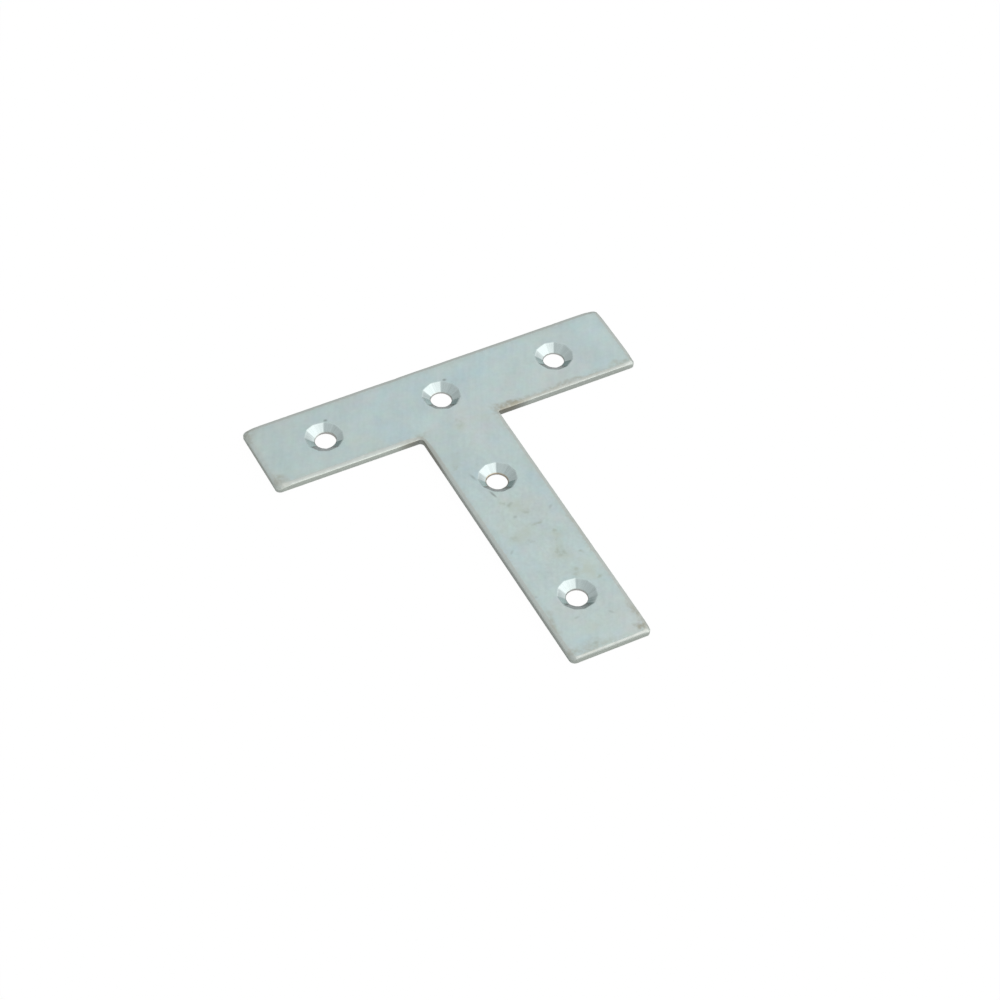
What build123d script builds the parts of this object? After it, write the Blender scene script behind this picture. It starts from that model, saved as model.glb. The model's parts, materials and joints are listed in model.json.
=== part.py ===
"""Flat tee joining plate: one blank punched from zinc plated steel strip, with five countersunk screw holes.

It lies on its back in the XY plane, with the countersinks facing +Z. The origin is on the back face, on the
axis of the centre hole, where the centrelines of the bar (along X) and of the stem (towards -Y) cross.
"""

from build123d import *
from math import cos, pi
import os

# Blank, mm
bar_length = 75.0  # end to end along X
bar_width = 16.0
stem_width = 16.0
overall_height = 75.0  # back edge of the bar to the end of the stem
thickness = 1.5

# Edges of the blank
corner_radius = 1.2  # the six outer corners, seen from above
root_radius = 0.4  # the two inner corners, where the stem leaves the bar
die_roll = 0.8  # top edge, rounded where the strip was drawn into the die
edge_break = 0.1  # bottom edge, tumbled after punching

# Screw holes
hole_diameter = 4.0
bar_hole_inset = 13.5  # end of the bar to the centre of its outer hole
stem_hole_inset = 13.0  # end of the stem to the centre of its lower hole
stem_hole_drop = 23.0  # centre hole to the upper hole of the stem

# Countersinks: the tool chattered, so each is a ring of flat facets and not a smooth cone
countersink_diameter = 7.2  # of the circle that the rim follows, between its corners and its flats
land = 0.4  # plain wall of the hole left under the countersink
facet_count = 11
facet_turns = (32.0, 1.0, 27.0, 0.0, 4.0)  # degrees, in the order of hole_centres

bar_hole_x = bar_length / 2 - bar_hole_inset
stem_end_y = bar_width / 2 - overall_height
hole_centres = (
    (-bar_hole_x, 0),
    (0, 0),
    (bar_hole_x, 0),
    (0, -stem_hole_drop),
    (0, stem_end_y + stem_hole_inset),
)

# The rim's flats lie as far inside its named circle as its corners lie outside. The corners run straight down
# to the hole's wall at the top of the land, and on at the same slope to where they would reach the back face.
rim_corner_radius = countersink_diameter / (1 + cos(pi / facet_count))
corner_slope = (rim_corner_radius - hole_diameter / 2) / (thickness - land)
back_corner_radius = hole_diameter / 2 - corner_slope * land

with BuildPart() as tee_plate:
    with BuildSketch():
        Rectangle(bar_length, bar_width)
        with Locations((0, bar_width / 2)):
            Rectangle(stem_width, overall_height, align=(Align.CENTER, Align.MAX))
    extrude(amount=thickness)

    # The two upright edges nearest the middle of the stem's root are the inner corners
    root = (0, -bar_width / 2, thickness / 2)
    fillet(tee_plate.edges().filter_by(Axis.Z).sort_by_distance(root)[2:], corner_radius)
    fillet(tee_plate.edges().filter_by(Axis.Z).sort_by_distance(root)[:2], root_radius)
    fillet(tee_plate.faces().sort_by(Axis.Z)[-1].edges(), die_roll)
    chamfer(tee_plate.faces().sort_by(Axis.Z)[0].edges(), edge_break)

    with Locations(*hole_centres):
        Hole(hole_diameter / 2)

    # Each countersink is a pyramid through the whole plate, which inside the land meets only the open hole
    for centre, turn in zip(hole_centres, facet_turns):
        for height, radius in ((0, back_corner_radius), (thickness, rim_corner_radius)):
            with BuildSketch(Plane.XY.offset(height)):
                with Locations(centre):
                    RegularPolygon(radius, facet_count, rotation=turn)
        loft(ruled=True, mode=Mode.SUBTRACT)

tee_plate.part.label = "tee_plate"

os.makedirs("parts", exist_ok=True)
export_step(tee_plate.part, "parts/tee_plate.step")
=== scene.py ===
import json

import bpy
import numpy as np
from mathutils import Matrix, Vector
from mathutils.geometry import delaunay_2d_cdt


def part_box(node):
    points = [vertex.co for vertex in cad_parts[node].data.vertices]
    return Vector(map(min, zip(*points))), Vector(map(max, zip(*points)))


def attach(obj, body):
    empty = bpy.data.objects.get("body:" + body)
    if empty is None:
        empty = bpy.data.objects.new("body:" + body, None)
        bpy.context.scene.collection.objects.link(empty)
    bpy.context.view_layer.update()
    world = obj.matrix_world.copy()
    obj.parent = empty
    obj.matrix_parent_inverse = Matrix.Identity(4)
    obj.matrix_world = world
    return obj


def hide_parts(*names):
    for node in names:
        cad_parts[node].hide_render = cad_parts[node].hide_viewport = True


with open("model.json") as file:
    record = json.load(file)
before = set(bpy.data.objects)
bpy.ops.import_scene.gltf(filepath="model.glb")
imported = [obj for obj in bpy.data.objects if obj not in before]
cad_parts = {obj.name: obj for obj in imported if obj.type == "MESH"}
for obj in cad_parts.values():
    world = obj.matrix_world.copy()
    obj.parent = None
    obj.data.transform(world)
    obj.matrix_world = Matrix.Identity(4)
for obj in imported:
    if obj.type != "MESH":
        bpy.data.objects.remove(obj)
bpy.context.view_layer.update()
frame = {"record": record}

# ---------------------------------------------------------------------------------------------------------
# Tee plate. One flat blank, punched from 1.5 mm steel strip, with five screw holes that a chattering tool
# countersank, then tumbled and plated in bright zinc. Nothing is fixed to it.
# ---------------------------------------------------------------------------------------------------------
mm = 0.001
rng = np.random.default_rng(7)

low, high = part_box("tee_plate")
thickness = high.z
bar_end = high.x
strip_half = high.y  # the origin lies on the centrelines of the bar and the stem
stem_end = low.y
bores = [mount for mount in frame["record"]["mounts"] if mount["kind"] == "bore"]
hole_centres = np.array([mount["pos_m"][:2] for mount in bores])
bore_radius = bores[0]["dims"]["r_mm"] * mm

# The blank's corners, counter-clockwise from above, starting at the back of the bar's left end
tee_corners = np.array(
    [
        (-bar_end, strip_half),
        (-bar_end, -strip_half),
        (-strip_half, -strip_half),
        (-strip_half, stem_end),
        (strip_half, stem_end),
        (strip_half, -strip_half),
        (bar_end, -strip_half),
        (bar_end, strip_half),
    ]
)
outer_corners = tee_corners[[0, 1, 3, 4, 6, 7]]
stem_roots = tee_corners[[2, 5]]
corner_radii = np.array([1.3, 1.6, 0.9, 1.3, 1.5, 0.3, 1.2, 1.2]) * mm


def tee_outline(radius, step, arc_steps):
    """Points round the blank, counter-clockwise from above, the outward direction and the progress of each.

    A side is a row of even steps. A corner is its arc's centre, plus the radius times the outward direction
    where it is convex and minus it at the root of the stem, as that direction turns from side to side. The
    progress grows by one from the start of each corner's arc to its end, and stays the same along a side.
    """
    leaving = np.roll(tee_corners, -1, axis=0) - tee_corners
    leaving /= np.linalg.norm(leaving, axis=1, keepdims=True)
    arriving = np.roll(leaving, 1, axis=0)
    turn = np.sign(arriving[:, 0] * leaving[:, 1] - arriving[:, 1] * leaving[:, 0])
    share = np.linspace(0, 1, arc_steps + 1)
    angle = share[:, None] * np.pi / 2
    points, outward, progress = [], [], []
    for i in range(len(tee_corners)):
        after = (i + 1) % len(tee_corners)
        side = np.array([arriving[i, 1], -arriving[i, 0]])
        normal = np.cos(angle) * side + turn[i] * np.sin(angle) * arriving[i]
        centre = tee_corners[i] + radius[i] * (leaving[i] - arriving[i])
        points.append(centre + turn[i] * radius[i] * normal)
        outward.append(normal)
        progress.append(i + share)
        start = tee_corners[i] + radius[i] * leaving[i]
        end = tee_corners[after] - radius[after] * leaving[i]
        count = int(np.ceil(np.linalg.norm(end - start) / step))
        along = np.arange(1, count)[:, None] / count
        points.append(start + along * (end - start))
        outward.append(np.tile([leaving[i, 1], -leaving[i, 0]], (count - 1, 1)))
        progress.append(np.full(count - 1, i + 1.0))
    return np.concatenate(points), np.concatenate(outward), np.concatenate(progress)


def by_side(values):
    """A value at each point of the outline, even along each side and changing evenly round each corner.

    The sides come in this order: back edge, left end, front left, left of the stem, end of the stem, right
    of the stem, front right, right end, and the back edge again.
    """
    return np.interp(progress, np.arange(len(values)), values)


def near(distance, reach):
    """One at no distance, and falling off as e to the power of minus the square of distance over reach."""
    return np.exp(-((distance / reach) ** 2))


def ripple(share, slowest, fastest, count):
    """A smooth wander between about -1 and 1, where share runs from 0 to 1 once round.

    It is the sum of count sine waves of random phase that close on themselves, over the root of count.
    """
    waves = rng.integers(slowest, fastest, count)
    phases = rng.uniform(0, 2 * np.pi, count)
    return np.sin(2 * np.pi * np.outer(share, waves) + phases).sum(axis=1) / np.sqrt(count)


outline, outward, progress = tee_outline(corner_radii, step=0.25 * mm, arc_steps=14)
around = np.linspace(0, 1, len(outline), endpoint=False)
from_root = np.linalg.norm(outline[:, None, :] - stem_roots, axis=-1).min(axis=1)
from_corner = np.linalg.norm(outline[:, None, :] - outer_corners, axis=-1).min(axis=1)

# Edge: a rounded shoulder where the strip was drawn into the die, a burnished band, a torn band set in a
# little below it, and a tumbled lower edge. Each is a few rings, of insets from the outline and heights.
shoulder_drop = 0.035 * mm
shoulder_reach = 2.6 * mm
shoulder_rings = np.array([1.15, 1.1, 1.05]) * mm


def face_height(inset):
    """Height of the upper face, which sinks by the drop times the square of one minus inset over reach."""
    return thickness - shoulder_drop * np.clip(1 - inset / shoulder_reach, 0, 1) ** 2


shoulder_inset = np.tile(shoulder_rings, (len(outline), 1))
shoulder_height = face_height(shoulder_inset)

# The roll's width differs from side to side. It is wider at the corners and narrower at the stem's roots.
roll_widths = np.array([0.85, 0.88, 0.86, 0.8, 0.5, 0.8, 0.74, 0.92, 0.85]) * mm
widest_roll = 1.0 * mm
narrowed = 0.45 * near(from_root, 2.2 * mm)
widened = 0.15 * near(from_corner, 3 * mm)
long_waver = 0.05 * ripple(around, 5, 40, 9)
short_waver = 0.03 * ripple(around, 90, 260, 12)
roll_across = by_side(roll_widths) * (1 - narrowed + widened) * (1 + long_waver + short_waver)
roll_across = np.minimum(roll_across, widest_roll)[:, None]

# From the face outwards it leans over gently, then more, and turns down sharply into the wall. It falls
# further at the outer corners and along the end of the stem.
tilt_at = [0, 0.3, 0.6, 0.86, 0.95, 1]
tilt_degrees = [0, 9, 13, 24, 45, 80]
side_falls = [1.0, 1.0, 1.2, 1.0, 2.8, 1.0, 1.0, 1.0, 1.0]
roll_tilt = np.radians(np.interp(np.linspace(0, 1, 16), tilt_at, tilt_degrees))
mean_tilt = (roll_tilt[1:] + roll_tilt[:-1]) / 2
gone_out = np.append(0, np.cumsum(np.cos(mean_tilt)))[None, :] / np.cos(mean_tilt).sum()
gone_down = np.append(0, np.cumsum(np.sin(mean_tilt)))[None, :] / np.cos(mean_tilt).sum()
corner_falls = 1 + 1.8 * near(from_corner, 1.8 * mm)
fall = np.maximum(corner_falls, by_side(side_falls))[:, None]
roll_inset = roll_across * (1 - gone_out)
roll_height = face_height(roll_across) - roll_across * gone_down * fall

# The wall is streaked all the way down, and rough in the torn band, whose upper limit wanders
break_radius = 0.12 * mm
torn_fade = 0.12 * mm
torn_depth = 0.02 * mm
wall_share = np.linspace(0, 1, 9)[None, 1:]
wall_height = roll_height[:, -1:] + wall_share * (break_radius - roll_height[:, -1:])
torn_top = (0.5 + 0.08 * ripple(around, 6, 120, 12))[:, None] * mm
torn = np.clip((torn_top - wall_height) / torn_fade, 0, 1)
streaks = rng.uniform(0, 0.006, (len(outline), 1)) * mm
tearing = rng.uniform(0, 0.018, wall_height.shape) * mm
wall_inset = streaks + torn * (torn_depth + tearing)

break_angle = np.radians(np.linspace(0, 90, 5))[None, 1:]
break_inset = wall_inset[:, -1:] + break_radius * (1 - np.cos(break_angle))
break_height = np.tile(break_radius * (1 - np.sin(break_angle)), (len(outline), 1))
back_inset = np.full((len(outline), 1), 0.4 * mm)  # one more ring, on the flat of the back

# The corners square up from the roll down: there they stand out as if their radius were smaller by this,
# but never past the sides. The blank is also a little short at its right end, and full along its front
# left edge, more so towards the stem.
sharper = np.array([0.3, 0.6, 0.0, 0.15, 0.65, 0.0, 0.35, 0.4]) * mm
shortfalls = np.array([0.0, 0.0, -0.2, 0.0, 0.0, 0.0, 0.0, 0.15, 0.0]) * mm
corner = np.floor(progress).astype(int) % len(tee_corners)
corner_angle = (progress % 1) * np.pi / 2
squarer = (np.cos(corner_angle) + np.sin(corner_angle) - 1) * sharper[corner]
to_side = corner_radii[corner] * (1 / np.maximum(np.cos(corner_angle), np.sin(corner_angle)) - 1)
from_left_end = np.clip((outline[:, 0] + bar_end) / (bar_end - strip_half), 0, 1)
moved_in = (by_side(shortfalls) * from_left_end - np.minimum(squarer, to_side))[:, None]
roll_inset += moved_in * gone_down / gone_down.max()
wall_inset += moved_in
break_inset += moved_in

edge_inset = np.hstack([shoulder_inset, roll_inset, wall_inset, break_inset, back_inset])
edge_height = np.hstack(
    [shoulder_height, roll_height, wall_height, break_height, np.zeros_like(back_inset)]
)
edge_flat = outline[:, None, :] - edge_inset[..., None] * outward[:, None, :]
edge_flat = np.clip(edge_flat, (-bar_end, stem_end), (bar_end, strip_half))

# Tumbling left small dents in the rolled edge, each a bell curve about its own place
dent_count = 60
dent_at = rng.integers(0, len(outline), dent_count)
dent_inset = rng.uniform(0.0, 0.6, dent_count) * mm
dent_size = rng.uniform(0.25, 0.6, dent_count) * mm
dent_depth = rng.uniform(0.01, 0.05, dent_count) * mm
dent_centre = outline[dent_at] - dent_inset[:, None] * outward[dent_at]
for centre, size, depth in zip(dent_centre, dent_size, dent_depth):
    dent = depth * near(np.linalg.norm(edge_flat - centre, axis=-1), size)
    edge_height -= dent * (edge_height > 0.6 * thickness)

edge_rows, edge_columns = edge_inset.shape
edge_vertices = np.dstack([edge_flat, edge_height]).reshape(-1, 3)
edge_index = np.arange(edge_rows * edge_columns).reshape(edge_rows, edge_columns)

# Holes: a drilled bore, a plain land, then a countersink of facets and the rim that they give it. The
# lists are in the order of hole_centres.
facet_count = 11
facet_turns = np.radians([32.0, 1.0, 27.0, 0.0, 4.0])
tool_drift = np.array([(-0.3, 0.05), (0.1, 0.15), (0.1, 0.1), (0.1, 0.1), (0.0, 0.0)]) * mm
rust_in_hole = (0.2, 0.25, 0.1, 1.0, 0.15)
rim_radius = 3.6 * mm
corners_over_rim = 1.02
facet_corner_radius = corners_over_rim * rim_radius
flats_bulge = 0.2  # share of the way from a polygon's side out or in to the rim's circle
facet_hollow = 1.1  # power of the facets' slope, 1 for straight
rim_rounding = 0.5 * mm
land_height = 0.4 * mm
bore_break = 0.08 * mm
rim_margin = 0.4 * mm  # from the rim to a ring round it on the face
chatter = 0.003 * mm
face_opening = 4.5 * mm  # radius of the round opening that a hole's surface fills in the upper face
back_opening = 2.7 * mm  # and in the back
steps_per_facet = 14
rim_steps = 5
facet_steps = 11


def polygon_side(angle, turns, radii):
    """Distance from the axis to a polygon's side at each angle, from the turn and radius of its corners.

    Between two corners it is the product of their radii and the sine of the angle between them, over the
    first radius times the sine of the angle past it plus the second times the sine of the angle left.
    """
    first = np.searchsorted(turns, angle, side="right") - 1
    a, b = turns[first], turns[first + 1]
    p, q = radii[first], radii[first + 1]
    return p * q * np.sin(b - a) / (p * np.sin(angle - a) + q * np.sin(b - angle))


def hole_surface(centre, facet_turn, drift):
    """Vertices of one hole as a grid of angle by ring, from a circle on the upper face to one on the back.

    The rim is an arc from the flat face to the facets' slope. On a facet the radius runs evenly from there
    to the bore, and the height as a power of the share of the way up. Ripples run down the facets. Both
    turn about the axis of the tool, which had drifted from the axis of the bore.
    """
    turns = facet_turn + 2 * np.pi * np.arange(facet_count) / facet_count
    turns += rng.uniform(-0.06, 0.06, facet_count)
    turns = np.append(turns, turns[0] + 2 * np.pi)
    radii = rim_radius * (corners_over_rim + rng.uniform(-0.012, 0.012, facet_count))
    lifts = rng.uniform(-0.05, 0.05, facet_count) * mm
    radii = np.append(radii, radii[0])
    lifts = np.append(lifts, lifts[0])
    angle = np.linspace(turns[0], turns[-1], facet_count * steps_per_facet, endpoint=False)
    polygon = polygon_side(angle, turns, radii)[:, None]
    polygon += flats_bulge * (rim_radius - polygon)
    direction = np.stack([np.cos(angle), np.sin(angle)], axis=-1)

    # the facets shrink towards the axis in the same shape, so they meet the bore in a wavy line
    slope = (facet_corner_radius - bore_radius) / (thickness - land_height)
    reach = np.hypot(*drift) * np.cos(angle - np.arctan2(drift[1], drift[0]))[:, None]
    meet = land_height + (bore_radius - reach - bore_radius * polygon / facet_corner_radius) / slope
    meet += np.interp(angle, turns, lifts)[:, None]
    tilt = np.arctan2(thickness - meet, polygon - bore_radius + reach)
    tangent = rim_rounding * np.tan(tilt / 2)
    turning = tilt * np.linspace(0, 1, rim_steps)[None, :]
    rim = polygon + tangent - rim_rounding * np.sin(turning)
    rim_height = thickness - rim_rounding * (1 - np.cos(turning))
    share = np.linspace(1, 0, facet_steps + 1)[None, 1:]
    facet_height = meet + share**facet_hollow * (rim_height[:, -1:] - meet)
    facet = (bore_radius - reach) + share * (rim[:, -1:] - bore_radius + reach)
    streak = np.convolve(rng.uniform(-1, 1, len(angle) + 2), [0.3, 1, 0.3], "valid")[:, None]
    facet_height += streak * chatter * np.sin(np.pi * share) ** 0.5

    land_share = np.linspace(0, 1, 6)[None, 1:]
    land_z = meet + land_share * (bore_break - meet)
    turn = np.radians(np.linspace(0, 90, 4))[None, 1:]
    break_z = np.tile(bore_break * (1 - np.sin(turn)), (len(angle), 1))
    break_r = np.tile(bore_radius + bore_break * (1 - np.cos(turn)), (len(angle), 1))
    outer = np.full_like(polygon, face_opening)
    below = np.full_like(polygon, back_opening)

    from_tool = np.hstack([polygon + rim_margin, rim, facet])
    from_bore = np.hstack([np.full_like(land_z, bore_radius), break_r, below])
    outer_xy = centre + outer[..., None] * direction[:, None, :]
    tool_xy = (centre + drift) + from_tool[..., None] * direction[:, None, :]
    bore_xy = centre + from_bore[..., None] * direction[:, None, :]
    flat = np.full((len(angle), 2), thickness)
    height = np.hstack([flat, rim_height, facet_height, land_z, break_z, np.zeros_like(below)])
    return np.dstack([np.concatenate([outer_xy, tool_xy, bore_xy], axis=1), height])


hole_grids = [hole_surface(*hole) for hole in zip(hole_centres, facet_turns, tool_drift)]
hole_rows, hole_columns = hole_grids[0].shape[:2]
hole_size = hole_rows * hole_columns
hole_first = len(edge_vertices) + np.arange(len(hole_grids)) * hole_size
ring_first = hole_first[:, None] + np.arange(hole_rows) * hole_columns
facet_streaks = [np.repeat(rng.uniform(-1, 1, hole_rows), hole_columns) for _ in hole_grids]

# The two flat faces: a loose square grid of points on each, joined to the edge and to the holes
face_spacing = 0.7 * mm
back_spacing = 1.6 * mm


def face_points(spacing, edge_gap, hole_gap):
    """Points of a square grid on the tee, and how far inside its outline each lies.

    They are the grid's points that lie more than edge_gap inside the outline, and more than hole_gap from
    the axis of each hole.
    """
    xs = np.arange(-bar_end, bar_end, spacing) + spacing / 2
    ys = np.arange(stem_end, strip_half, spacing) + spacing / 2
    points = np.stack(np.meshgrid(xs, ys), axis=-1).reshape(-1, 2)
    inside = (np.abs(points[:, 0]) < strip_half) | (points[:, 1] > -strip_half)
    points = points[inside]
    inset = np.full(len(points), np.inf)
    for part in np.array_split(np.arange(len(outline)), 12):
        gap = np.linalg.norm(points[:, None, :] - outline[None, part, :], axis=-1)
        inset = np.minimum(inset, gap.min(axis=1))
    from_hole = np.linalg.norm(points[:, None, :] - hole_centres, axis=-1).min(axis=1)
    kept = (inset > edge_gap) & (from_hole > hole_gap)
    return points[kept], inset[kept]


def fill(loops, vertices, inner_first, inner):
    """Triangles between the outline's loop and the holes' loops, through the inner points.

    They are the Delaunay triangles that keep the loops' edges, less those with all three corners on one
    hole's loop, which lie in the hole.
    """
    index = np.concatenate([*loops, inner_first + np.arange(len(inner))])
    flat = np.concatenate([vertices[np.concatenate(loops), :2], inner]) / mm
    starts = np.cumsum([0] + [len(loop) for loop in loops])
    rounds = [np.arange(a, b) for a, b in zip(starts[:-1], starts[1:])]
    edges = np.concatenate([np.column_stack([ring, np.roll(ring, -1)]) for ring in rounds])
    inside_edges, merge_distance = 1, 1e-6
    found = delaunay_2d_cdt(flat.tolist(), edges.tolist(), [], inside_edges, merge_distance)
    source = np.array(found[3])[:, 0]
    triangles = source[np.array(found[2])]
    owner = np.searchsorted(starts, triangles, side="right") - 1
    in_hole = (owner[:, 0] == owner[:, 1]) & (owner[:, 1] == owner[:, 2])
    in_hole &= (owner[:, 0] > 0) & (owner[:, 0] < len(loops))
    return index[triangles[~in_hole]]


def grid_faces(first, rows, columns):
    """Quads of a grid of vertices that starts at index first, whose rows close on themselves.

    Vertex number first plus row times columns plus column is joined to the next column and the next row.
    """
    index = first + np.arange(rows * columns).reshape(rows, columns)
    beside = np.roll(index, -1, axis=0)
    quads = np.stack([index[:, :-1], index[:, 1:], beside[:, 1:], beside[:, :-1]], axis=-1)
    return quads.reshape(-1, 4)


top_points, top_inset = face_points(face_spacing, shoulder_rings[0] + 0.4 * mm, face_opening + 0.3 * mm)
back_points, back_gap = face_points(back_spacing, 1.0 * mm, back_opening + 0.7 * mm)
top_first = hole_first[-1] + hole_size
back_first = top_first + len(top_points)
vertices = np.concatenate(
    [
        edge_vertices,
        *[grid.reshape(-1, 3) for grid in hole_grids],
        np.column_stack([top_points, face_height(top_inset)]),
        np.column_stack([back_points, np.zeros(len(back_points))]),
    ]
)
top_loops = [edge_index[:, 0], *ring_first]
back_loops = [edge_index[:, -1], *(ring_first + hole_columns - 1)]
top_faces = fill(top_loops, vertices, top_first, top_points)
back_faces = fill(back_loops, vertices, back_first, back_points)[:, ::-1]
quads = [grid_faces(0, edge_rows, edge_columns)]
quads += [grid_faces(first, hole_rows, hole_columns)[:, ::-1] for first in hole_first]
faces = [*np.concatenate(quads).tolist(), *top_faces.tolist(), *back_faces.tolist()]

plate_mesh = bpy.data.meshes.new("tee_plate_skin")
plate_mesh.from_pydata(vertices, [], faces)
plate_mesh.shade_smooth()

# What the finish reads at each vertex: millimetres inside the outline, and from 0 to 1 how much of a
# countersink's cut, a bore, its rust, a sheared wall or a roll it is. A streak is lighter or darker.
past_all_wear = 6.0  # for the holes, which lie further inside than the edges' wear reaches
edge_mask = np.full(len(vertices), past_all_wear)
edge_mask[: len(edge_vertices)] = edge_inset.ravel() / mm
edge_mask[top_first:back_first] = top_inset / mm
edge_mask[back_first:] = back_gap / mm

rim_column = 2  # after the rings on the face
bore_column = rim_column + rim_steps + facet_steps
cut_columns = np.zeros(hole_columns)
cut_columns[rim_column + 1 : rim_column + 3] = (0.3, 0.7)
cut_columns[rim_column + 3 : bore_column] = 1.0
bore_columns = np.zeros(hole_columns)
bore_columns[bore_column:-1] = 1.0
rust_columns = np.zeros(hole_columns)
rust_columns[bore_column - 2 : bore_column + 1] = (0.35, 1.0, 0.6)
cut_mask = np.zeros(len(vertices))
bore_mask = np.zeros(len(vertices))
rust_mask = np.zeros(len(vertices))
for first, rust in zip(hole_first, rust_in_hole):
    cut_mask[first : first + hole_size] = np.tile(cut_columns, hole_rows)
    bore_mask[first : first + hole_size] = np.tile(bore_columns, hole_rows)
    rust_mask[first : first + hole_size] = np.tile(rust_columns * rust, hole_rows)
streak_mask = np.zeros(len(vertices))
streak_mask[hole_first[0] : top_first] = np.concatenate(facet_streaks)
streak_mask *= cut_mask

roll_column = shoulder_inset.shape[1]
wall_column = roll_column + roll_inset.shape[1]
wall_columns = np.zeros(edge_columns)
wall_columns[wall_column - 2 : -2] = 1.0  # from the steep foot of the roll to the foot of the wall
roll_columns = np.zeros(edge_columns)
roll_columns[roll_column + 1 : roll_column + 3] = (0.5, 0.8)
roll_columns[roll_column + 3 : wall_column] = 1.0
wall_mask = np.zeros(len(vertices))
roll_mask = np.zeros(len(vertices))
wall_mask[: len(edge_vertices)] = np.tile(wall_columns, edge_rows)
roll_mask[: len(edge_vertices)] = np.tile(roll_columns, edge_rows)

for name, values in (
    ("edge", edge_mask),
    ("cut", cut_mask),
    ("bore", bore_mask),
    ("rust", rust_mask),
    ("streak", streak_mask),
    ("wall", wall_mask),
    ("roll", roll_mask),
):
    stored = plate_mesh.attributes.new(name, "FLOAT", "POINT")
    stored.data.foreach_set("value", values.astype(np.float32))

plate = bpy.data.objects.new("tee_plate_skin", plate_mesh)
bpy.context.scene.collection.objects.link(plate)
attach(plate, "root")
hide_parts("tee_plate")

# Finish: bright zinc plate, satin and a little clouded, marked by handling, and dulled along its edges by
# wear and by painted shade


def add_node(tree, kind, settings, inputs):
    """A new node with its settings and inputs filled in. An input may be another node's socket."""
    node = tree.nodes.new(kind)
    for name, value in settings.items():
        setattr(node, name, value)
    for name, value in inputs.items():
        if isinstance(value, bpy.types.NodeSocket):
            tree.links.new(value, node.inputs[name])
        else:
            node.inputs[name].default_value = value
    return node


def maths(tree, operation, first, second):
    """One value made of two by an operation."""
    return add_node(tree, "ShaderNodeMath", {"operation": operation}, {0: first, 1: second}).outputs[0]


def vector_maths(tree, operation, inputs):
    """The outputs of an operation on vectors: Vector, or Value for a length or a dot product."""
    return add_node(tree, "ShaderNodeVectorMath", {"operation": operation}, inputs).outputs


def eased(tree, value, start, end, low=0.0, high=1.0):
    """A value that goes smoothly from low at start to high at end."""
    limits = {"Value": value, "From Min": start, "From Max": end, "To Min": low, "To Max": high}
    return add_node(tree, "ShaderNodeMapRange", {"interpolation_type": "SMOOTHSTEP"}, limits).outputs[0]


def tinted(tree, share, first, second):
    """The first colour turned into the second by a share."""
    colours = {0: share, 6: first, 7: second}
    return add_node(tree, "ShaderNodeMix", {"data_type": "RGBA"}, colours).outputs[2]


def scaled_by(tree, colour, factor):
    """A colour times a factor, or times another colour."""
    return vector_maths(tree, "MULTIPLY", {0: colour, 1: factor})["Vector"]


def cloud(tree, place, scale, detail):
    """The outputs of noise from 0 to 1, Fac and Color, with about scale patches to the millimetre."""
    inputs = {"Vector": place, "Scale": scale, "Detail": detail}
    return add_node(tree, "ShaderNodeTexNoise", {}, inputs).outputs


# A mark on the plate: an ellipse at a place, turned, of two half-widths, that fades out towards its edge
mark_group = bpy.data.node_groups.new("mark", "ShaderNodeTree")
for name in ("Place", "Centre", "Turn", "Size"):
    mark_group.interface.new_socket(name, in_out="INPUT", socket_type="NodeSocketVector")
mark_group.interface.new_socket("Depth", in_out="INPUT", socket_type="NodeSocketFloat")
mark_group.interface.new_socket("Mask", in_out="OUTPUT", socket_type="NodeSocketFloat")
given = mark_group.nodes.new("NodeGroupInput").outputs
ellipse = {
    "Vector": given["Place"],
    "Location": given["Centre"],
    "Rotation": given["Turn"],
    "Scale": given["Size"],
}
within = add_node(mark_group, "ShaderNodeMapping", {"vector_type": "TEXTURE"}, ellipse).outputs["Vector"]
from_centre = vector_maths(mark_group, "LENGTH", {0: within})["Value"]
mask = maths(mark_group, "MULTIPLY", eased(mark_group, from_centre, 1.0, 0.1), given["Depth"])
add_node(mark_group, "NodeGroupOutput", {}, {"Mask": mask})
mark_height = 1.5  # of every mark's centre, in mm: on the upper face
mark_half_height = 3.0


def marks(tree, place, list_of_marks):
    """The strongest of a list of marks at each point.

    Each mark is its centre's x and y and two half-widths in mm, its turn in degrees and its depth.
    """
    strongest = 0.0
    for x, y, long, wide, turn, depth in list_of_marks:
        mark = add_node(
            tree,
            "ShaderNodeGroup",
            {"node_tree": mark_group},
            {
                "Place": place,
                "Centre": (x, y, mark_height),
                "Turn": (0, 0, np.radians(turn)),
                "Size": (long, wide, mark_half_height),
                "Depth": depth,
            },
        )
        strongest = maths(tree, "MAXIMUM", strongest, mark.outputs["Mask"])
    return strongest


zinc = bpy.data.materials.new("bright_zinc_plate")
zinc.use_nodes = True
tree = zinc.node_tree
shader = tree.nodes["Principled BSDF"]
object_place = add_node(tree, "ShaderNodeTexCoord", {}, {}).outputs["Object"]
place = vector_maths(tree, "SCALE", {0: object_place, "Scale": 1 / mm})["Vector"]

# A place that strays by up to 2 mm, so that the marks drawn there have ragged outlines
noise = cloud(tree, place, 0.35, 4.0)["Color"]
stray = vector_maths(tree, "SUBTRACT", {0: noise, 1: (0.5, 0.5, 0.5)})["Vector"]
wandering = vector_maths(tree, "MULTIPLY_ADD", {0: stray, 1: (4.0, 4.0, 0.0), 2: place})["Vector"]


def stored_at_vertices(name):
    """A value stored at each vertex of the plate."""
    return add_node(tree, "ShaderNodeAttribute", {"attribute_name": name}, {}).outputs["Fac"]


inset, cut, bore, rust, streak, wall, roll = [
    stored_at_vertices(name) for name in ("edge", "cut", "bore", "rust", "streak", "wall", "roll")
]


def patchy(scale, detail, start, end, low, high):
    """Patches of a value from low to high, eased between two levels of noise."""
    return eased(tree, cloud(tree, place, scale, detail)["Fac"], start, end, low, high)


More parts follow.
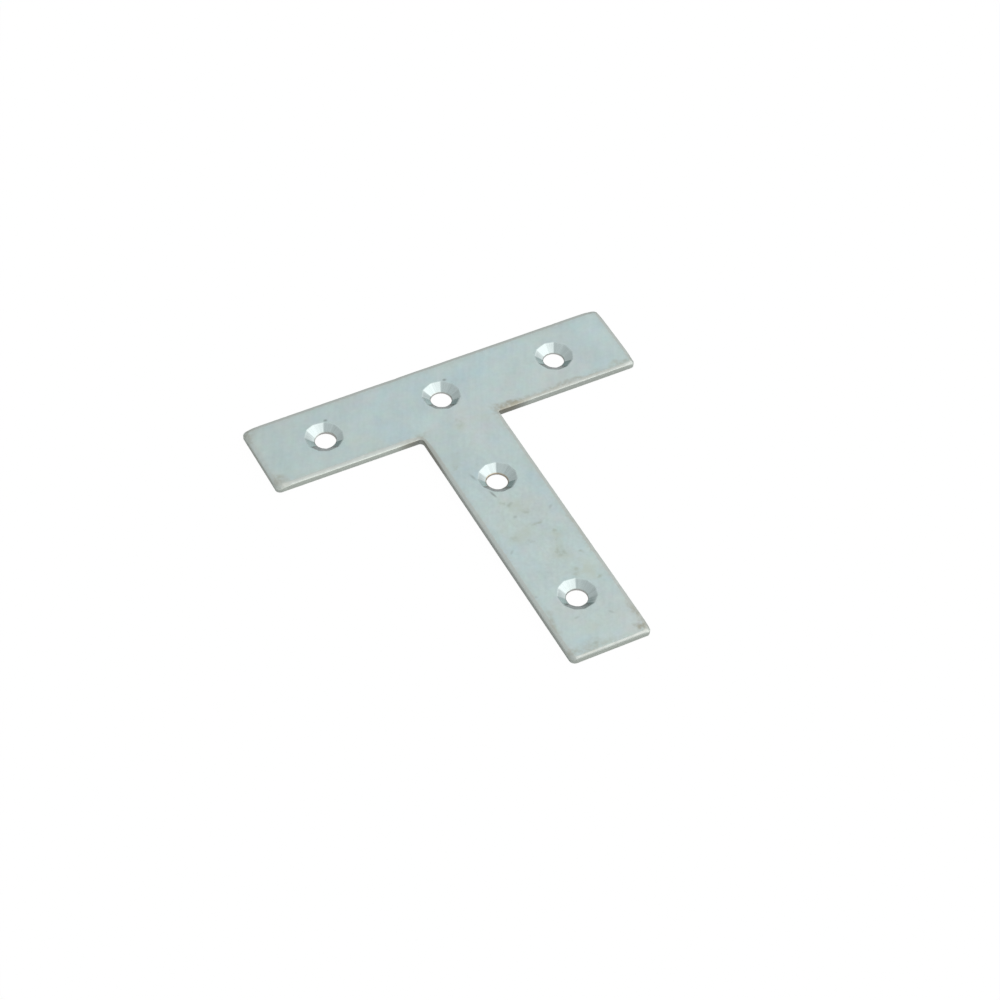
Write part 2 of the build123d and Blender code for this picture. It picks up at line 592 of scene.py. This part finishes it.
def laid_on(film, mask, strength, colour):
    """The film with a colour over it, by the mask times a strength."""
    return tinted(tree, maths(tree, "MULTIPLY", mask, strength), film, colour)


# The film over the zinc shifts between faint blue, green and pink, and is finely mottled
blue = (0.433, 0.538, 0.5535, 1)
green = (0.458, 0.555, 0.547, 1)
pink = (0.484, 0.552, 0.541, 1)
drifts = cloud(tree, place, 0.06, 3.0)["Fac"]
film = tinted(tree, eased(tree, drifts, 0.36, 0.5), blue, green)
film = tinted(tree, eased(tree, drifts, 0.5, 0.66), film, pink)
mottling = {0: cloud(tree, place, 0.5, 8.0)["Color"], 1: (0.16, 0.11, 0.11), 2: (0.92, 0.945, 0.945)}
film = scaled_by(tree, film, vector_maths(tree, "MULTIPLY_ADD", mottling)["Vector"])

# Wide areas of it are a little paler, warmer or cooler. In this list and those below, each mark is x, y,
# two half-widths, a turn and a depth.
paler = marks(
    tree,
    wandering,
    [
        (13, 4.5, 9.0, 5.0, 0, 0.9),
        (34.5, 2, 5.0, 10.0, 0, 0.8),
        (-7, -4.5, 6.0, 5.0, 0, 1.0),
        (-6.5, -28, 3.0, 8.0, 0, 0.8),
        (-6.5, -43, 3.0, 10.0, 0, 0.8),
    ],
)
warmer = marks(
    tree,
    wandering,
    [
        (-24, -5.5, 14.0, 5.0, 0, 1.0),
        (-5, -30, 7.0, 18.0, 0, 1.0),
        (1.5, -43.5, 5.0, 7.0, 0, 1.0),
        (1, -61, 6.0, 4.0, 0, 0.7),
        (4.5, -45, 3.0, 5.0, 0, 0.8),
    ],
)
cooler = marks(
    tree,
    wandering,
    [
        (-13, 5.0, 13.0, 6.0, 0, 1.0),
        (29.5, 0, 8.0, 12.0, 0, 1.0),
        (5, -5, 14.0, 5.0, 0, 0.6),
        (3.5, -13, 5.0, 8.0, 0, 0.8),
        (5.5, -30, 4.0, 10.0, 0, 0.6),
    ],
)
unchanged = (1, 1, 1, 1)
for area, tone in (
    (paler, (1.06, 1.06, 1.06, 1)),
    (warmer, (1.05, 1.02, 0.985, 1)),
    (cooler, (0.965, 0.99, 1.02, 1)),
):
    film = scaled_by(tree, film, tinted(tree, area, unchanged, tone))

# It is brushed on the slant, patchy, speckled most on the stem, and duller towards the bar's left end
slant = {"Vector": place, "Rotation": (0, 0, np.radians(62)), "Scale": (6.0, 0.6, 1.0)}
brush_strokes = add_node(tree, "ShaderNodeMapping", {"vector_type": "TEXTURE"}, slant).outputs["Vector"]
brushed = eased(tree, cloud(tree, brush_strokes, 1.0, 3.0)["Fac"], 0.25, 0.75, -0.018, 0.018)
patches = patchy(0.16, 5.0, 0.25, 0.75, 0.965, 1.035)
speckled = patchy(1.3, 4.0, 0.25, 0.75, -0.02, 0.02)
on_stem = marks(tree, place, [(0, -38, 11.0, 38.0, 0, 1.2)])
speckled = maths(tree, "MULTIPLY", speckled, maths(tree, "ADD", on_stem, 1.0))
along_bar = add_node(tree, "ShaderNodeSeparateXYZ", {}, {0: place}).outputs["X"]
duller = eased(tree, along_bar, -42.0, -2.0, 0.035, 0.0)
lightness = maths(tree, "ADD", patches, maths(tree, "ADD", brushed, speckled))
film = scaled_by(tree, film, maths(tree, "SUBTRACT", lightness, duller))

# Dried beige rinse stains on the stem, darker smudges in them, small grey specks and one short scratch
stains = marks(
    tree,
    wandering,
    [
        (0.0, -8.5, 2.4, 1.8, 0, 0.9),
        (4.5, -8.0, 2.4, 1.6, 20, 0.8),
        (0.0, -31.0, 3.6, 3.2, 0, 1.0),
        (-2.5, -37.5, 5.0, 2.6, 15, 0.9),
        (3.5, -40.0, 3.0, 2.4, 0, 0.9),
        (2.5, -44.5, 2.6, 4.2, 0, 1.0),
        (4.0, -49.5, 3.4, 3.2, 40, 1.0),
        (-5.5, -34.5, 1.6, 3.0, 0, 0.5),
        (0.0, -62.0, 4.0, 2.6, 0, 0.6),
        (-5.0, -15.5, 2.4, 3.6, 0, 0.5),
    ],
)
smudges = marks(
    tree,
    wandering,
    [
        (0.0, -8.0, 1.2, 1.0, 0, 0.7),
        (-4.0, -15.0, 0.9, 0.7, 0, 0.6),
        (-5.5, -17.0, 1.0, 0.6, 20, 0.9),
        (-1.0, -30.0, 1.1, 0.9, 0, 1.0),
        (-2.0, -29.0, 0.7, 0.6, 0, 0.7),
        (1.0, -32.5, 1.1, 1.3, 0, 0.8),
        (1.0, -36.0, 2.4, 0.7, 5, 1.0),
        (-4.0, -37.5, 1.2, 0.7, 0, 0.5),
        (-1.5, -39.5, 0.9, 0.9, 0, 0.6),
        (4.0, -39.5, 1.3, 0.9, 0, 0.8),
        (2.5, -44.0, 1.2, 1.8, 0, 1.0),
        (3.0, -41.0, 0.9, 0.8, 0, 0.6),
        (5.5, -46.0, 0.9, 0.8, 0, 0.8),
        (2.5, -49.0, 1.2, 1.0, 0, 0.7),
        (5.0, -51.5, 1.1, 0.9, 0, 0.9),
    ],
)
specks = marks(
    tree,
    place,
    [
        (2.4, 3.5, 0.6, 0.45, 0, 1.0),
        (-22.3, 3.7, 0.6, 0.45, 0, 1.0),
        (-4.0, -21.0, 0.4, 1.4, 15, 0.6),
        (-1.5, -33.0, 0.6, 0.5, 0, 0.5),
        (5.5, -33.5, 0.9, 0.4, 40, 0.4),
        (-6.0, -40.3, 0.9, 0.4, 45, 0.4),
        (3.5, -60.3, 0.9, 0.4, -50, 0.4),
        (-2.7, -58.8, 0.8, 0.4, 0, 0.4),
        (-7.0, -51.5, 0.6, 0.5, 0, 0.4),
        (-2.5, -65.3, 0.9, 0.5, 0, 0.4),
        (-2.6, -26.4, 1.4, 0.35, -75, 1.0),
    ],
)
stain_beige = (0.45, 0.515, 0.465, 1)
smudge_grey = (0.37, 0.43, 0.39, 1)
speck_grey = (0.16, 0.18, 0.17, 1)
stains = maths(tree, "MULTIPLY", stains, patchy(0.55, 5.0, 0.3, 0.62, 0.2, 1.0))
smudges = maths(tree, "MULTIPLY", smudges, patchy(1.1, 5.0, 0.38, 0.58, 0.25, 1.0))
film = laid_on(film, stains, 0.85, stain_beige)
film = laid_on(film, smudges, 1.0, smudge_grey)
film = laid_on(film, specks, 0.6, speck_grey)

# Wear and grime from tumbling: a thin worn band inside every edge, and grime that has gathered at some of
# the corners and edges. The roll is darker all round, partly dulled by tumbling and partly painted shade
# that holds down the light it mirrors, less so at the bar's left end.
worn_grey = (0.42, 0.46, 0.42, 1)
roll_dull_and_shaded = (0.435, 0.468, 0.445, 1)
roll_dull_and_shaded_left = (0.45, 0.51, 0.497, 1)
grime_brown = (0.33, 0.33, 0.27, 1)
spots = cloud(tree, place, 1.4, 5.0)["Fac"]
worn = maths(tree, "MULTIPLY", eased(tree, inset, 1.9, 0.6), eased(tree, spots, 0.35, 0.65, 0.2, 1.0))
film = laid_on(film, worn, 0.4, worn_grey)
left_end = marks(tree, place, [(-37.5, 0, 3.0, 14.0, 0, 1.0)])
# Painted shade and wear on the roll: darker than the face so that it mirrors less light, lighter at the
# bar's left end
film = laid_on(film, roll, 0.8, tinted(tree, left_end, roll_dull_and_shaded, roll_dull_and_shaded_left))
corner_grime = marks(
    tree,
    wandering,
    [
        (-36.5, 6.5, 3.0, 2.0, 45, 0.9),
        (-36, -6.5, 2.2, 2.6, 0, 1.0),
        (-8, -7.5, 2.0, 1.0, 0, 0.7),
        (10, -7.4, 4.0, 1.5, 0, 1.6),
        (11.5, -8.0, 6.0, 1.2, 0, 2.2),
        (22, -7.3, 18.0, 1.1, 0, 0.8),
        (35, -7, 4.0, 1.2, 0, 0.8),
        (6.9, -65.6, 1.7, 1.7, 0, 1.6),
        (7.4, -62, 1.0, 4.0, 0, 1.0),
        (-7, -58, 1.2, 4.5, 0, 0.8),
        (-7, -65.5, 2.4, 1.6, 0, 0.9),
        (-3, -65.8, 6.0, 1.8, 0, 0.7),
        (7.5, -40, 0.6, 12.0, 0, 0.4),
    ],
)
grime = maths(tree, "MULTIPLY", corner_grime, eased(tree, spots, 0.3, 0.62, 0.3, 1.0))
film = laid_on(film, grime, 0.55, grime_brown)

# The sheared wall is bright where it is clean. It is painted darker along the left of the stem, at the
# bar's left end and at the left root, a painted shade where the paper beside them lies in the plate's
# shadow, and darker with grime at the right root and along the front right. It is darkest near the roots of
# the stem: painted shade at the left root, grime at the right.
wall_clean = (0.60, 0.66, 0.61, 1)
wall_shaded_and_dirty = (0.49, 0.53, 0.51, 1)
root_colour_shade_and_grime = (0.30, 0.30, 0.25, 1)
wall_shade_and_grime = marks(
    tree,
    place,
    [
        # painted shade on the left-facing walls and at the left root, where the paper beside them is in the
        # plate's shadow
        (-8, -37.5, 2.0, 70.0, 0, 0.8),
        (-37.5, 0, 2.0, 20.0, 0, 0.5),
        (-8, -14, 2.0, 9.0, 0, 1.3),
        (-9, -8, 3.0, 1.5, 0, 1.2),
        # grime at the right root and along the front right edge
        (10.5, -8, 6.0, 2.0, 0, 1.5),
        (23, -8, 22.0, 2.0, 0, 0.35),
    ],
)
# Darkest at the roots of the stem: painted shade in the corner at the left root, brown grime at the right
# root
root_shade_and_grime = marks(
    tree,
    place,
    [
        # painted shade in the corner at the left root
        (-8, -12, 1.6, 8.0, 0, 0.8),
        (-10.5, -8, 3.5, 1.4, 0, 0.7),
        # grime at the right root
        (10, -8, 5.5, 1.6, 0, 1.0),
    ],
)
on_edge = maths(tree, "MAXIMUM", wall, maths(tree, "MULTIPLY", roll, 0.4))
film = laid_on(film, wall, 1.0, tinted(tree, wall_shade_and_grime, wall_clean, wall_shaded_and_dirty))
# Painted shade at the left root and grime at the right root, on the wall and a little on the roll
film = laid_on(film, maths(tree, "MULTIPLY", root_shade_and_grime, on_edge), 1.0, root_colour_shade_and_grime)

# The countersinks are a little darker and streaky, and the bores pale, with rust where the two meet
cut_grey = (0.42, 0.49, 0.487, 1)
bore_grey = (0.63, 0.63, 0.61, 1)
rust_brown = (0.30, 0.19, 0.075, 1)
film = laid_on(film, cut, 0.9, cut_grey)
film = scaled_by(tree, film, maths(tree, "ADD", maths(tree, "MULTIPLY", streak, 0.05), 1.0))
film = laid_on(film, bore, 1.0, bore_grey)
film = laid_on(film, rust, 0.9, rust_brown)
tree.links.new(film, shader.inputs["Base Color"])

# Rougher in the stains and along the sheared edge, and smoother where the tool cut
rough = patchy(0.8, 4.0, 0.3, 0.7, 0.33, 0.40)
for mask, change in ((stains, 0.12), (roll, 0.12), (wall, 0.06), (cut, -0.2)):
    rough = maths(tree, "ADD", rough, maths(tree, "MULTIPLY", mask, change))
tree.links.new(rough, shader.inputs["Roughness"])
shader.inputs["Metallic"].default_value = 1.0
shader.inputs["Specular Tint"].default_value = (0.8, 0.8, 0.8, 1)

fine_grain = cloud(tree, place, 4.0, 3.0)["Fac"]
bump = add_node(tree, "ShaderNodeBump", {}, {"Height": fine_grain, "Strength": 0.15, "Distance": 0.01 * mm})
tree.links.new(bump.outputs["Normal"], shader.inputs["Normal"])
plate_mesh.materials.append(zinc)

# ---------------------------------------------------------------------------------------------------------
# Stage: a white paper floor that the plate lies on, an even white room with one soft window, and the
# camera. From below the paper is clear, so that the plate's back can be seen.
# ---------------------------------------------------------------------------------------------------------
floor_half = 1.5
floor_height = -0.02 * mm
floor_mesh = bpy.data.meshes.new("floor")
floor_mesh.from_pydata(
    [(x * floor_half, y * floor_half, floor_height) for x, y in ((-1, -1), (1, -1), (1, 1), (-1, 1))],
    [],
    [(0, 1, 2, 3)],
)
floor = bpy.data.objects.new("floor", floor_mesh)
bpy.context.scene.collection.objects.link(floor)

# The camera sees the paper white. The plate's mirror image of it is held back, except right under the
# plate, where the paper would otherwise show only the plate's own shadow.
paper_grey = (0.45, 0.45, 0.45, 1)
paper_white = 1.025
whiteness = 0.95
mirrored_share = 0.2
under_share = 0.9
under_gap = 0.1 * mm
paper = bpy.data.materials.new("white_paper")
paper.use_nodes = True
paper_tree = paper.node_tree
paper_tree.nodes.clear()
ray = add_node(paper_tree, "ShaderNodeLightPath", {}, {}).outputs
mirrored = maths(paper_tree, "MAXIMUM", ray["Is Glossy Ray"], ray["Is Transmission Ray"])
right_under = maths(paper_tree, "LESS_THAN", ray["Ray Length"], under_gap)
right_under = maths(paper_tree, "MULTIPLY", right_under, under_share)
held_back = maths(paper_tree, "MAXIMUM", right_under, mirrored_share)
mirrored = maths(paper_tree, "MULTIPLY", mirrored, held_back)
seen = maths(paper_tree, "MAXIMUM", ray["Is Camera Ray"], mirrored)
seen = maths(paper_tree, "MULTIPLY", seen, whiteness)
diffuse = add_node(paper_tree, "ShaderNodeBsdfDiffuse", {}, {"Color": paper_grey}).outputs[0]
white = add_node(paper_tree, "ShaderNodeEmission", {}, {"Strength": paper_white}).outputs[0]
clear = add_node(paper_tree, "ShaderNodeBsdfTransparent", {}, {}).outputs[0]
above = add_node(paper_tree, "ShaderNodeMixShader", {}, {0: seen, 1: diffuse, 2: white}).outputs[0]
behind = add_node(paper_tree, "ShaderNodeNewGeometry", {}, {}).outputs["Backfacing"]
sheet = add_node(paper_tree, "ShaderNodeMixShader", {}, {0: behind, 1: above, 2: clear}).outputs[0]
add_node(paper_tree, "ShaderNodeOutputMaterial", {}, {"Surface": sheet})
floor_mesh.materials.append(paper)

# The room is a little lighter above and on the right, and its large soft window is high on the right
room_level = 0.82
room_lean = (0.13, -0.08, 0.23)
window_direction = (0.62, -0.36, 0.70)
window_colour = (1.04, 0.95, 0.94)
window_edge = 0.62  # cosine of the angle from the window's middle at which its light starts
window_full = 0.97  # and at which it is full
world = bpy.data.worlds.new("studio")
bpy.context.scene.world = world
world.use_nodes = True
room_tree = world.node_tree
room_tree.nodes.clear()
gaze = add_node(room_tree, "ShaderNodeTexCoord", {}, {}).outputs["Generated"]
lean = vector_maths(room_tree, "DOT_PRODUCT", {0: gaze, 1: room_lean})["Value"]
room = maths(room_tree, "ADD", lean, room_level)
to_window = vector_maths(room_tree, "DOT_PRODUCT", {0: gaze, 1: window_direction})["Value"]
window = eased(room_tree, to_window, window_edge, window_full)
daylight = vector_maths(room_tree, "MULTIPLY_ADD", {0: window, 1: window_colour, 2: room})["Vector"]
light = add_node(room_tree, "ShaderNodeBackground", {}, {"Color": daylight}).outputs[0]
add_node(room_tree, "ShaderNodeOutputWorld", {}, {"Surface": light})

# The camera stands to the left and in front, looks down at the plate, and is tipped a little to one side
camera_distance = 0.5825
aim_right = 0.0111
aim_down = 0.01858
azimuth, elevation, tip = np.radians((-29.27, 48.17, 2.58))
camera_data = bpy.data.cameras.new("camera")
camera_data.sensor_width = 36
camera_data.lens = 111.3
camera = bpy.data.objects.new("camera", camera_data)
out = np.cos(elevation)
away = np.array([np.sin(azimuth) * out, -np.cos(azimuth) * out, np.sin(elevation)])
level = np.array([np.cos(azimuth), np.sin(azimuth), 0])
upright = np.cross(away, level)
right = np.cos(tip) * level + np.sin(tip) * upright
up = np.cos(tip) * upright - np.sin(tip) * level
stand = Matrix.Translation(camera_distance * away + aim_right * right - aim_down * up)
camera.matrix_world = stand @ Matrix(np.column_stack([right, up, away]).tolist()).to_4x4()
bpy.context.scene.collection.objects.link(camera)
bpy.context.scene.camera = camera
bpy.context.scene.view_settings.view_transform = "Standard"
